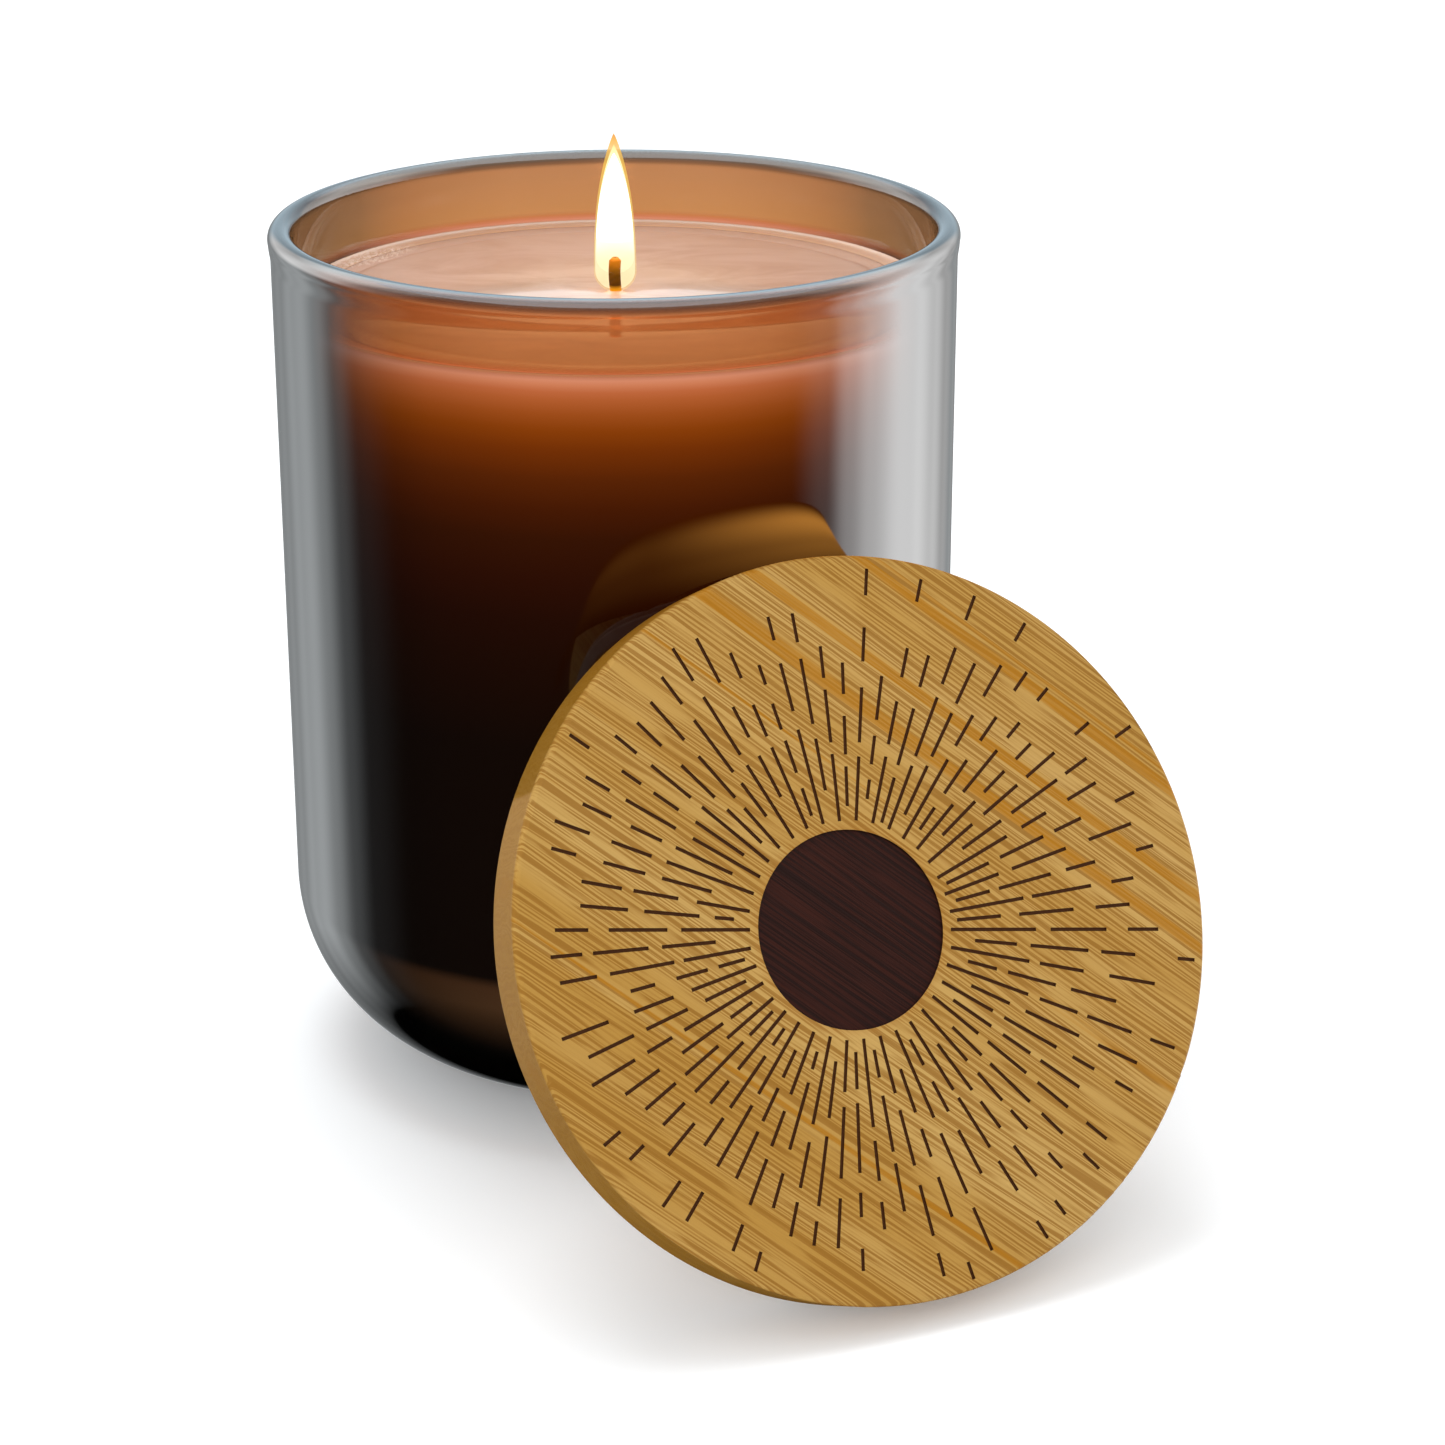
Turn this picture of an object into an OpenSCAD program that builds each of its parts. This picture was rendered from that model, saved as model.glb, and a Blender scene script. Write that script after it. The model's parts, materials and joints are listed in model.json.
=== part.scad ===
// Filled single-wick container candle in a smoked glass jar, with its wooden lid
// leaning on the front right of the jar. Millimetres, +Z up, jar axis on x = y = 0,
// foot ring on z = 0, the front of the scene towards -Y.

/* [Jar] */
// Overall height of the glass
jar_height = 114.5; // [90:0.5:140]
// Outside diameter over the rim bead
rim_diameter = 90; // [70:0.5:120]
// Height and thickness of the round rim bead
rim_bead = 3.3; // [2:0.1:5]
// How far the bead stands proud of the wall below it
bead_proud = 0.3; // [0.1:0.1:1.5]
// Length of the true mouth land below the bead, where the lid's seal sits
mouth_land = 3.35; // [2:0.05:8]
// How far the wall below the land stands in from it
land_step = 0.95; // [0.9:0.05:2]
// Outside radius of the rounded bottom corner
heel_radius = 25; // [8:0.5:34]
// Inside radius of the rounded bottom corner
inner_heel_radius = 14; // [6:0.5:24]
// Thickness of the heavy base at the jar's axis
base_thickness = 12; // [6:0.5:22]
// Depth of the shallow punt under the base
punt_depth = 1.2; // [0.6:0.1:4]
// Width of the flat foot ring the jar stands on
foot_ring_width = 3.2; // [1.5:0.1:6]

/* [Fill and wick] */
// Distance from the rim's top down to the wax surface
headspace = 10.05; // [5:0.05:40]
// Depth of the molten pool at the top of the wax
pool_depth = 3; // [1:0.1:12]
// Width of the unmelted wax ledge left at the glass
pool_ledge = 2.4; // [1:0.1:15]
// Diameter of the braided cotton wick
wick_diameter = 1.8; // [1:0.1:5]
// Diameter of the stiff core inside the braid
wick_core_diameter = 0.7; // [0.3:0.1:2]
// Height of the wick above the wax surface
wick_stand = 4.8; // [3:0.1:12]
// Diameter of the metal wick tab on the jar's floor
tab_diameter = 20; // [12:0.5:35]
// Sheet thickness of the wick tab
tab_sheet = 0.5; // [0.2:0.1:1]
// Height of the crimped neck that holds the wick
tab_neck_height = 6; // [3:0.5:12]
// Thickness of the foam adhesive disc under the tab
sticker_thickness = 0.8; // [0.3:0.1:2]
// Diameter of the blank paper label under the base
label_diameter = 30; // [10:0.5:34]
// Thickness of the paper label
label_thickness = 0.2; // [0.1:0.05:0.5]

/* [Lid] */
// Diameter of the wooden lid
lid_diameter = 90; // [70:0.5:120]
// Thickness of the lid's board
lid_thickness = 8; // [5:0.5:14]
// Radius of the eased edge all round the board
lid_edge_round = 0.7; // [0.3:0.1:2]
// Width of one glued bamboo strip
strip_width = 27; // [18:0.5:40]
// Offset of the middle glue line from the lid's centre
strip_offset = 1.6; // [-10:0.1:10]
// Direction of the grain on the face, below the horizontal
grain_angle = 43; // [0:1:90]
// Diameter of the turned step that drops into the mouth
plug_diameter = 80.6; // [60:0.2:110]
// Depth of the turned step
plug_depth = 5; // [3:0.1:8]
// Outside diameter of the seal's soft lips
seal_diameter = 83.8; // [60:0.1:112]

/* [Burnt decoration] */
// Diameter of the dark round medallion
medallion_diameter = 24; // [12:0.5:40]
// How far the medallion sits left of the lid's centre
medallion_shift = 2.7; // [0:0.1:6]
// Depth burnt away over the medallion
medallion_depth = 0.25; // [0.1:0.05:1]
// Number of rays round the medallion
ray_count = 76; // [24:2:96]
// Width of one engraved dash
dash_width = 0.44; // [0.2:0.02:1]
// Depth of one engraved dash
dash_depth = 0.3; // [0.1:0.05:1]
// Seed that shuffles the lengths of the dashes
dash_seed = 21; // [1:1:99]

/* [Resting place of the lid] */
// Direction the lid faces, round from the front towards the right
lid_azimuth = 23.9; // [0:0.1:60]
// Angle the lid leans back from the vertical
lid_lean = 26.8; // [5:0.1:45]
// Distance from the jar's axis to the lid's foot
lid_stand_off = 87.6; // [70:0.1:120]
// Sideways shift of the lid's foot
lid_side_shift = 1.9; // [-15:0.1:15]

/* [Hidden] */
rim_r = rim_diameter / 2;
bead_r = rim_bead / 2;
wall_r = rim_r - bead_proud;
mouth_r = rim_r - rim_bead;
inner_r = mouth_r - land_step;
bead_z = jar_height - bead_r;
land_z = bead_z - mouth_land;
wax_z = jar_height - headspace;
taper_z = wax_z + 0.45;
pool_z = wax_z - pool_depth;
pool_r = inner_r - pool_ledge;
foot_r = wall_r - heel_radius;
punt_r = foot_r - foot_ring_width;
floor_r = inner_r - inner_heel_radius;
sticker_z = base_thickness;
tab_z = sticker_z + sticker_thickness;
neck_z = tab_z + tab_sheet;
neck_top = neck_z + tab_neck_height;
wick_top = wax_z + wick_stand;
wick_r = wick_diameter / 2;
core_r = wick_core_diameter / 2;
neck_r = wick_r + 0.45;
lid_r = lid_diameter / 2;
plug_r = plug_diameter / 2;
groove_r = plug_r - 1.8;
groove_low = 1.5;
groove_high = 3.5;
seal_r = seal_diameter / 2;
strip_cuts = [-60, strip_offset - strip_width, strip_offset, strip_offset + strip_width, 60];
dice = rands(0, 1, ray_count * 9, dash_seed);

glass_colour = [0.22, 0.11, 0.04, 0.75];
wax_colour = [0.93, 0.85, 0.70];
pool_colour = [0.90, 0.78, 0.55];
bamboo_light = [0.80, 0.63, 0.36];
bamboo_dark = [0.74, 0.55, 0.27];

// ---- jar ----

module heel_profile(r_side, r_heel, z_low, z_top) {
    // half outline of a round-bottomed vessel: straight side, one big corner arc
    intersection() {
        union() {
            translate([0, z_low]) square([r_side - r_heel, z_top - z_low]);
            translate([0, z_low + r_heel]) square([r_side, z_top - z_low - r_heel]);
            translate([r_side - r_heel, z_low + r_heel]) circle(r = r_heel, $fn = 96);
        }
        translate([0, z_low]) square([r_side, z_top - z_low]);
    }
}

module glass_jar() {
    color(glass_colour)
    rotate_extrude($fn = 144)
    difference() {
        union() {
            heel_profile(wall_r, heel_radius, 0, bead_z);
            translate([rim_r - bead_r, bead_z]) circle(r = bead_r, $fn = 32);
        }
        heel_profile(inner_r, inner_heel_radius, base_thickness, taper_z);
        polygon([[0, taper_z - 1], [inner_r, taper_z - 1], [inner_r, taper_z],
                 [mouth_r, land_z], [mouth_r, bead_z], [0, bead_z]]);
        translate([0, bead_z]) square([rim_r - bead_r, bead_r + 1]);
        translate([-1, -1]) square([punt_r + 1, punt_depth + 1]);
    }
    color(glass_colour)
    rotate_extrude($fn = 144)
    intersection() {
        translate([rim_r - bead_r, bead_z]) circle(r = bead_r, $fn = 32);
        translate([mouth_r, bead_z - 0.02]) square([rim_bead, bead_r + 1]);
    }
}

// ---- wax, wick and hardware ----

module wick_outline(clear = 0) {
    // everything that stands in the wax, as one turned shape
    translate([0, 0, sticker_z - 1])
        cylinder(h = neck_z - sticker_z + 1, r = tab_diameter / 2, $fn = 96);
    translate([0, 0, neck_z - 0.5]) cylinder(h = neck_top - neck_z + 0.5, r = neck_r, $fn = 48);
    cylinder(h = jar_height, r = wick_r, $fn = 32);
}

module wax_fill() {
    color(wax_colour)
    difference() {
        rotate_extrude($fn = 144) heel_profile(inner_r, inner_heel_radius, base_thickness, wax_z);
        translate([0, 0, pool_z]) cylinder(h = pool_depth + 1, r = pool_r, $fn = 144);
        wick_outline();
    }
}

module melt_pool() {
    color(pool_colour)
    difference() {
        translate([0, 0, pool_z]) cylinder(h = pool_depth, r = pool_r, $fn = 144);
        translate([0, 0, pool_z - 1]) cylinder(h = pool_depth + 2, r = wick_r, $fn = 32);
    }
}

module wick() {
    color([0.30, 0.22, 0.16])
    difference() {
        translate([0, 0, neck_z]) cylinder(h = wick_top - neck_z, r = wick_r, $fn = 32);
        translate([0, 0, neck_z - 1]) cylinder(h = wick_top - neck_z + 2, r = core_r, $fn = 24);
    }
}

module wick_core() {
    color([0.85, 0.82, 0.75])
    translate([0, 0, neck_z]) cylinder(h = wick_top - neck_z, r = core_r, $fn = 24);
}

module wick_tab() {
    color([0.75, 0.76, 0.78])
    union() {
        translate([0, 0, tab_z]) cylinder(h = tab_sheet, r = tab_diameter / 2, $fn = 96);
        difference() {
            translate([0, 0, neck_z - 0.01])
                cylinder(h = tab_neck_height + 0.01, r = neck_r, $fn = 48);
            translate([0, 0, neck_z]) cylinder(h = tab_neck_height + 1, r = wick_r, $fn = 32);
        }
    }
}

module wick_sticker() {
    color([0.92, 0.92, 0.90])
    translate([0, 0, sticker_z]) cylinder(h = sticker_thickness, r = tab_diameter / 2, $fn = 96);
}

module base_label() {
    color([0.95, 0.94, 0.90])
    translate([0, 0, punt_depth - label_thickness])
        cylinder(h = label_thickness, r = label_diameter / 2, $fn = 96);
}

// ---- lid ----

module lid_place() {
    // from the lid's own frame (back face on z = 0, face towards +Z) to where it leans
    rotate([0, 0, lid_azimuth])
    translate([lid_side_shift, -lid_stand_off, 0])
    rotate([90 - lid_lean, 0, 0])
    translate([0, lid_r, 0])
    children();
}

module board() {
    e = lid_edge_round;
    rotate_extrude($fn = 144)
    union() {
        square([lid_r - e, lid_thickness]);
        translate([0, e]) square([lid_r, lid_thickness - 2 * e]);
        translate([lid_r - e, e]) circle(r = e, $fn = 24);
        translate([lid_r - e, lid_thickness - e]) circle(r = e, $fn = 24);
    }
}

// distance from the medallion's centre to the lid's rim along direction a
function reach(a) = let (c = medallion_shift * cos(a), s = medallion_shift * sin(a))
    c + sqrt(pow(lid_r, 2) - pow(s, 2));

module dash(a, r1, r2) {
    if (r2 < reach(a) - 1.2 && r2 - r1 > 0.8)
        rotate([0, 0, a]) translate([r1, -dash_width / 2, lid_thickness - dash_depth])
            cube([r2 - r1, dash_width, dash_depth + 1]);
}

module ray(i) {
    a = 360 * i / ray_count;
    d = [for (k = [0:8]) dice[9 * i + k]];
    odd = i % 2;
    start = medallion_diameter / 2 + 1 + (odd == 1 ? 0.4 + 5 * d[0] : 0.2 * d[0]);
    end1 = start + (odd == 1 ? 2.2 + 5.5 * d[1] : 6 + 6 * d[1]);
    start2 = end1 + 1.1 + 1.4 * d[2];
    end2 = start2 + 3.5 + 5 * d[3];
    start3 = end2 + 1.3 + 2.2 * d[4];
    end3 = start3 + 2.5 + 4 * d[5];
    start4 = end3 + 2 + 4 * d[6];
    end4 = start4 + 2 + 1.8 * d[7];
    dash(a, start, end1);
    dash(a, start2, end2);
    dash(a, start3, end3);
    if (d[8] > 0.45) dash(a, start4, end4);
}

module strip(k) {
    lid_place()
    difference() {
        intersection() {
            board();
            rotate([0, 0, -grain_angle])
            translate([-60, strip_cuts[k], -1])
                cube([120, strip_cuts[k + 1] - strip_cuts[k], lid_thickness + 2]);
        }
        translate([-medallion_shift, 0, 0]) {
            translate([0, 0, lid_thickness - medallion_depth])
                cylinder(h = medallion_depth + 1, r = medallion_diameter / 2, $fn = 96);
            for (i = [0:ray_count - 1]) ray(i);
        }
    }
}

module lid_strip_1() { color(bamboo_light) strip(0); }
module lid_strip_2() { color(bamboo_dark) strip(1); }
module lid_strip_3() { color(bamboo_light) strip(2); }
module lid_strip_4() { color(bamboo_dark) strip(3); }

module lid_plug() {
    color(bamboo_dark)
    lid_place()
    rotate([180, 0, 0])
    rotate_extrude($fn = 144)
    difference() {
        square([plug_r, plug_depth]);
        translate([groove_r, groove_low]) square([3, groove_high - groove_low]);
        translate([plug_r, plug_depth]) rotate([0, 0, 45]) square([1, 1], center = true);
    }
}

module seal_ring() {
    color([0.93, 0.93, 0.91])
    lid_place()
    rotate([180, 0, 0])
    rotate_extrude($fn = 144)
    polygon([
        [groove_r + 0.05, groove_low + 0.05], [plug_r + 0.3, groove_low + 0.05],
        [seal_r, groove_low - 0.1], [seal_r, groove_low + 0.25],
        [plug_r + 0.5, groove_low + 0.75], [plug_r + 0.5, groove_low + 1.05],
        [seal_r, groove_low + 0.95], [seal_r, groove_low + 1.3],
        [plug_r + 0.3, groove_high - 0.05], [groove_r + 0.05, groove_high - 0.05]
    ]);
}

glass_jar();
wax_fill();
melt_pool();
wick();
wick_core();
wick_tab();
wick_sticker();
base_label();
lid_strip_1();
lid_strip_2();
lid_strip_3();
lid_strip_4();
lid_plug();
seal_ring();
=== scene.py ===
"""A lit container candle in a smoked glass jar, with its bamboo lid leaning on it.

Metres throughout, in the CAD frame: jar axis on x = y = 0, foot ring on z = 0, front towards -Y.
"""
import json
import math

import bmesh
import bpy
from mathutils import Matrix, Vector


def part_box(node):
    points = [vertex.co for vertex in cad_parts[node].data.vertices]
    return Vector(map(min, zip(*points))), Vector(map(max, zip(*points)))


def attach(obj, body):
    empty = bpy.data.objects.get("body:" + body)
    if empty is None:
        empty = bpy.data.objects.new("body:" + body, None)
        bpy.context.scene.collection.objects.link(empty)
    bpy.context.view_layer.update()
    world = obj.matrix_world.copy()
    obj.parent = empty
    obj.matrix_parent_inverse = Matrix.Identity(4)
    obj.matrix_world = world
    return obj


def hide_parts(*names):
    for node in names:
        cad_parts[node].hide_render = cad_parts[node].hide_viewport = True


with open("model.json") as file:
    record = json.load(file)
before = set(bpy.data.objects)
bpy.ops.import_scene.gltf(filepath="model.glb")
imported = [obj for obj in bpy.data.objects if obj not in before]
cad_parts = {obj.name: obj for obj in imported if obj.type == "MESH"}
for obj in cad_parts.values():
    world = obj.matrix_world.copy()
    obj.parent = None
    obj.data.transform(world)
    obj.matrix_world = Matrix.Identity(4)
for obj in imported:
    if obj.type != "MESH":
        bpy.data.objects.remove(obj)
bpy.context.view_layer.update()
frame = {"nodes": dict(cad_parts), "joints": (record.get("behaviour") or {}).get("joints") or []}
MM = 0.001

# ---------------------------------------------------------------- sizes, from the frame
RIM_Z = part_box("glass_jar")[1].z      # top of the rim
wax_low, wax_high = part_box("wax_fill")
wick_low, wick_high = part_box("wick")
RIM_R = 45.0 * MM                     # outside of the rim bead
BEAD = 3.3 * MM                       # height and thickness of the bead
WALL_R = RIM_R - 0.3 * MM             # outside of the wall
BORE_R = RIM_R - BEAD                 # inside of the mouth
INNER_R = BORE_R - 0.2 * MM           # inside of the wall
HEEL = 25.0 * MM                      # outside corner radius
INNER_HEEL = 14.0 * MM                # inside corner radius
BASE = wax_low.z                      # thickness of the heavy base
FOOT_R = WALL_R - HEEL                # outside of the foot ring
PUNT_R = FOOT_R - 3.2 * MM            # outside of the hollow under the base
PUNT = 1.2 * MM                       # its depth
WAX_Z = wax_high.z                    # level of the fill
WICK_R = 0.9 * MM
FLAME_TIP = RIM_Z + 11.1 * MM

tip_joint = next(j for j in frame["joints"] if j["name"] == "lid_tip")
turn_joint = next(j for j in frame["joints"] if j["name"] == "lid_turn")
LID_N = Vector(turn_joint["axis"]).normalized()      # out of the lid's face
LID_U = Vector(tip_joint["axis"]).normalized()       # level, across the face
LID_V = LID_N.cross(LID_U)                           # up the face
LID_C = Vector(turn_joint["pos_m"])                  # centre of the board's back face
LID_T = 8.0 * MM                      # thickness of the board
LID_R = 45.0 * MM
GRAIN = math.radians(43)              # the grain's slope on the board
MEDAL_R = 12.0 * MM                   # the burnt disc
MEDAL_SHIFT = 2.7 * MM                # how far it sits off the board's centre


# ---------------------------------------------------------------- node helpers
class Nodes:
    """A small wrapper that makes node graphs readable."""

    def __init__(self, name):
        self.mat = bpy.data.materials.new(name)
        self.mat.use_nodes = True
        self.tree = self.mat.node_tree
        self.tree.nodes.clear()
        self.out = self.tree.nodes.new("ShaderNodeOutputMaterial")

    def add(self, kind, values=None, **props):
        node = self.tree.nodes.new("ShaderNode" + kind)
        for key, value in props.items():
            setattr(node, key, value)
        for key, value in (values or {}).items():
            self.put(node, key, value)
        return node

    def put(self, node, key, value):
        socket = node.inputs[key]
        if isinstance(value, bpy.types.NodeSocket):
            self.tree.links.new(value, socket)
        elif isinstance(value, bpy.types.Node):
            self.tree.links.new(value.outputs[0], socket)
        else:
            socket.default_value = value

    def math(self, op, a, b=0.0):
        return self.add("Math", {0: a, 1: b}, operation=op).outputs[0]

    def ramp(self, value, stops, interpolation="LINEAR"):
        node = self.add("ValToRGB", {0: value})
        ramp = node.color_ramp
        ramp.interpolation = interpolation
        while len(ramp.elements) < len(stops):
            ramp.elements.new(0.5)
        for element, (at, colour) in zip(ramp.elements, stops):
            element.position = at
            element.color = colour if len(colour) == 4 else (*colour, 1)
        return node.outputs[0]

    def span(self, value, low, high, to_low=0.0, to_high=1.0):
        node = self.add("MapRange", {0: value, 1: low, 2: high, 3: to_low, 4: to_high})
        return node.outputs[0]

    def mix(self, factor, a, b, blend="MIX"):
        node = self.add("Mix", data_type="RGBA", blend_type=blend)
        for index, value in ((0, factor), (6, a), (7, b)):
            if isinstance(value, tuple) and len(value) == 3:
                value = (*value, 1)
            self.put(node, index, value)
        return node.outputs[2]

    def noise(self, vector, scale, detail=2.0, rough=0.5, distort=0.0):
        node = self.add("TexNoise", {"Vector": vector, "Scale": scale, "Detail": detail,
                                     "Roughness": rough, "Distortion": distort})
        return node.outputs[0]

    def bump(self, height, strength, distance):
        node = self.add("Bump", {"Height": height, "Strength": strength,
                                 "Distance": distance})
        return node.outputs[0]

    def position(self):
        return self.add("TexCoord").outputs["Object"]

    def split(self, vector):
        return self.add("SeparateXYZ", {0: vector}).outputs

    def reach(self, a, b):
        """How far a point at (a, b) is from the middle."""
        return self.math("SQRT", self.math("ADD", self.math("MULTIPLY", a, a),
                                           self.math("MULTIPLY", b, b)))

    def finish(self, shader):
        self.tree.links.new(shader.outputs[0], self.out.inputs["Surface"])
        return self.mat

    def glow_only(self, tone, strength):
        """A reflector: it shows in the glass and lights nothing."""
        self.finish(self.add("Emission", {"Color": tone, "Strength": strength}))
        self.mat.cycles.emission_sampling = "NONE"
        return self.mat


def linear(red, green, blue):
    """A colour picked on the 0 to 255 scale, as linear light."""
    def one(v):
        v /= 255
        return v / 12.92 if v <= 0.04045 else ((v + 0.055) / 1.055) ** 2.4
    return (one(red), one(green), one(blue), 1)


# ---------------------------------------------------------------- mesh helpers
def mesh_object(name, vertices, faces, smooth=True):
    mesh = bpy.data.meshes.new(name)
    mesh.from_pydata(vertices, [], faces)
    mesh.validate()
    bm = bmesh.new()
    bm.from_mesh(mesh)
    bmesh.ops.recalc_face_normals(bm, faces=bm.faces)
    bm.to_mesh(mesh)
    bm.free()
    for polygon in mesh.polygons:
        polygon.use_smooth = smooth
    obj = bpy.data.objects.new(name, mesh)
    bpy.context.scene.collection.objects.link(obj)
    return obj


def lathe(name, profile, steps=192):
    """Turn (radius, height) points round the Z axis; a radius of 0 closes to a point."""
    vertices, rings = [], []
    for radius, z in profile:
        if radius < 1e-7:
            rings.append([len(vertices)])
            vertices.append((0, 0, z))
        else:
            first = len(vertices)
            for i in range(steps):
                a = 2 * math.pi * i / steps
                vertices.append((radius * math.cos(a), radius * math.sin(a), z))
            rings.append(list(range(first, first + steps)))
    faces = []
    for low, high in zip(rings, rings[1:]):
        if len(low) == 1 and len(high) == 1:
            continue
        for i in range(steps):
            j = (i + 1) % steps
            if len(low) == 1:
                faces.append((low[0], high[i], high[j]))
            elif len(high) == 1:
                faces.append((low[i], low[j], high[0]))
            else:
                faces.append((low[i], low[j], high[j], high[i]))
    return mesh_object(name, vertices, faces)


def arc(cx, cz, radius, start, end, steps):
    """Points of an arc, angles in degrees from +r towards +z."""
    points = []
    for i in range(steps + 1):
        a = math.radians(start + (end - start) * i / steps)
        points.append((cx + radius * math.cos(a), cz + radius * math.sin(a)))
    return points


def ease(t):
    """0 to 1, with a soft start and a soft end."""
    return 0.5 - 0.5 * math.cos(math.pi * t)


def dress(target, material):
    obj = frame["nodes"][target] if isinstance(target, str) else target
    obj.data.materials.clear()
    obj.data.materials.append(material)
    return obj


# ---------------------------------------------------------------- camera
def make_camera():
    """A long lens that looks down on the set."""
    look_down = math.radians(20.785)
    data = bpy.data.cameras.new("camera")
    data.sensor_width = 36
    data.lens = 88.7
    camera = bpy.data.objects.new("camera", data)
    camera.location = (14.04 * MM, -456.5 * MM, 217.5 * MM)
    camera.rotation_euler = (math.pi / 2 - look_down, 0, 0)
    data.clip_start, data.clip_end = 0.01, 100
    bpy.context.scene.collection.objects.link(camera)
    bpy.context.scene.camera = camera


make_camera()


# ---------------------------------------------------------------- jar
def jar_profile():
    """The glass: up the outside from the punt, over the rim, and down inside to the base."""
    bead_z = RIM_Z - BEAD / 2
    rim_c = RIM_R - BEAD / 2
    punt_round, ring_round = 0.4 * MM, 0.6 * MM
    outline = [(0, PUNT), (PUNT_R - punt_round, PUNT)]
    outline += arc(PUNT_R - punt_round, PUNT - punt_round, punt_round, 90, 0, 4)[1:]
    outline += arc(PUNT_R + ring_round, ring_round, ring_round, 180, 270, 4)
    outline += arc(FOOT_R, HEEL, HEEL, -90, 0, 40)
    outline += [(WALL_R, HEEL + (bead_z - 4 * MM - HEEL) * k / 12) for k in range(1, 13)]
    bead = arc(rim_c, bead_z, BEAD / 2, -16, 180, 30)
    swell_z, (bead_r, bead_low) = bead_z - 2.9 * MM, bead[0]
    for k in range(10):                  # the wall swells softly into the bead
        outline.append((WALL_R + (bead_r - WALL_R) * ease(k / 10),
                        swell_z + (bead_low - swell_z) * k / 10))
    outline += bead
    land_z, foot_z = bead_z - 3.3 * MM, WAX_Z + 0.45 * MM
    outline += [(BORE_R, bead_z - 1.5 * MM), (BORE_R - 0.02 * MM, bead_z - 3.0 * MM)]
    outline += [(BORE_R + (INNER_R - BORE_R) * ease(k / 8), land_z + (foot_z - land_z) * k / 8)
                for k in range(1, 9)]
    inner_z = BASE + INNER_HEEL
    outline += [(INNER_R, inner_z + (foot_z - 1 * MM - inner_z) * k / 12)
                for k in range(12, -1, -1)]
    outline += arc(INNER_R - INNER_HEEL, BASE + INNER_HEEL, INNER_HEEL, 0, -90, 26)[1:]
    outline += [(0, BASE)]
    return outline


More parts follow.
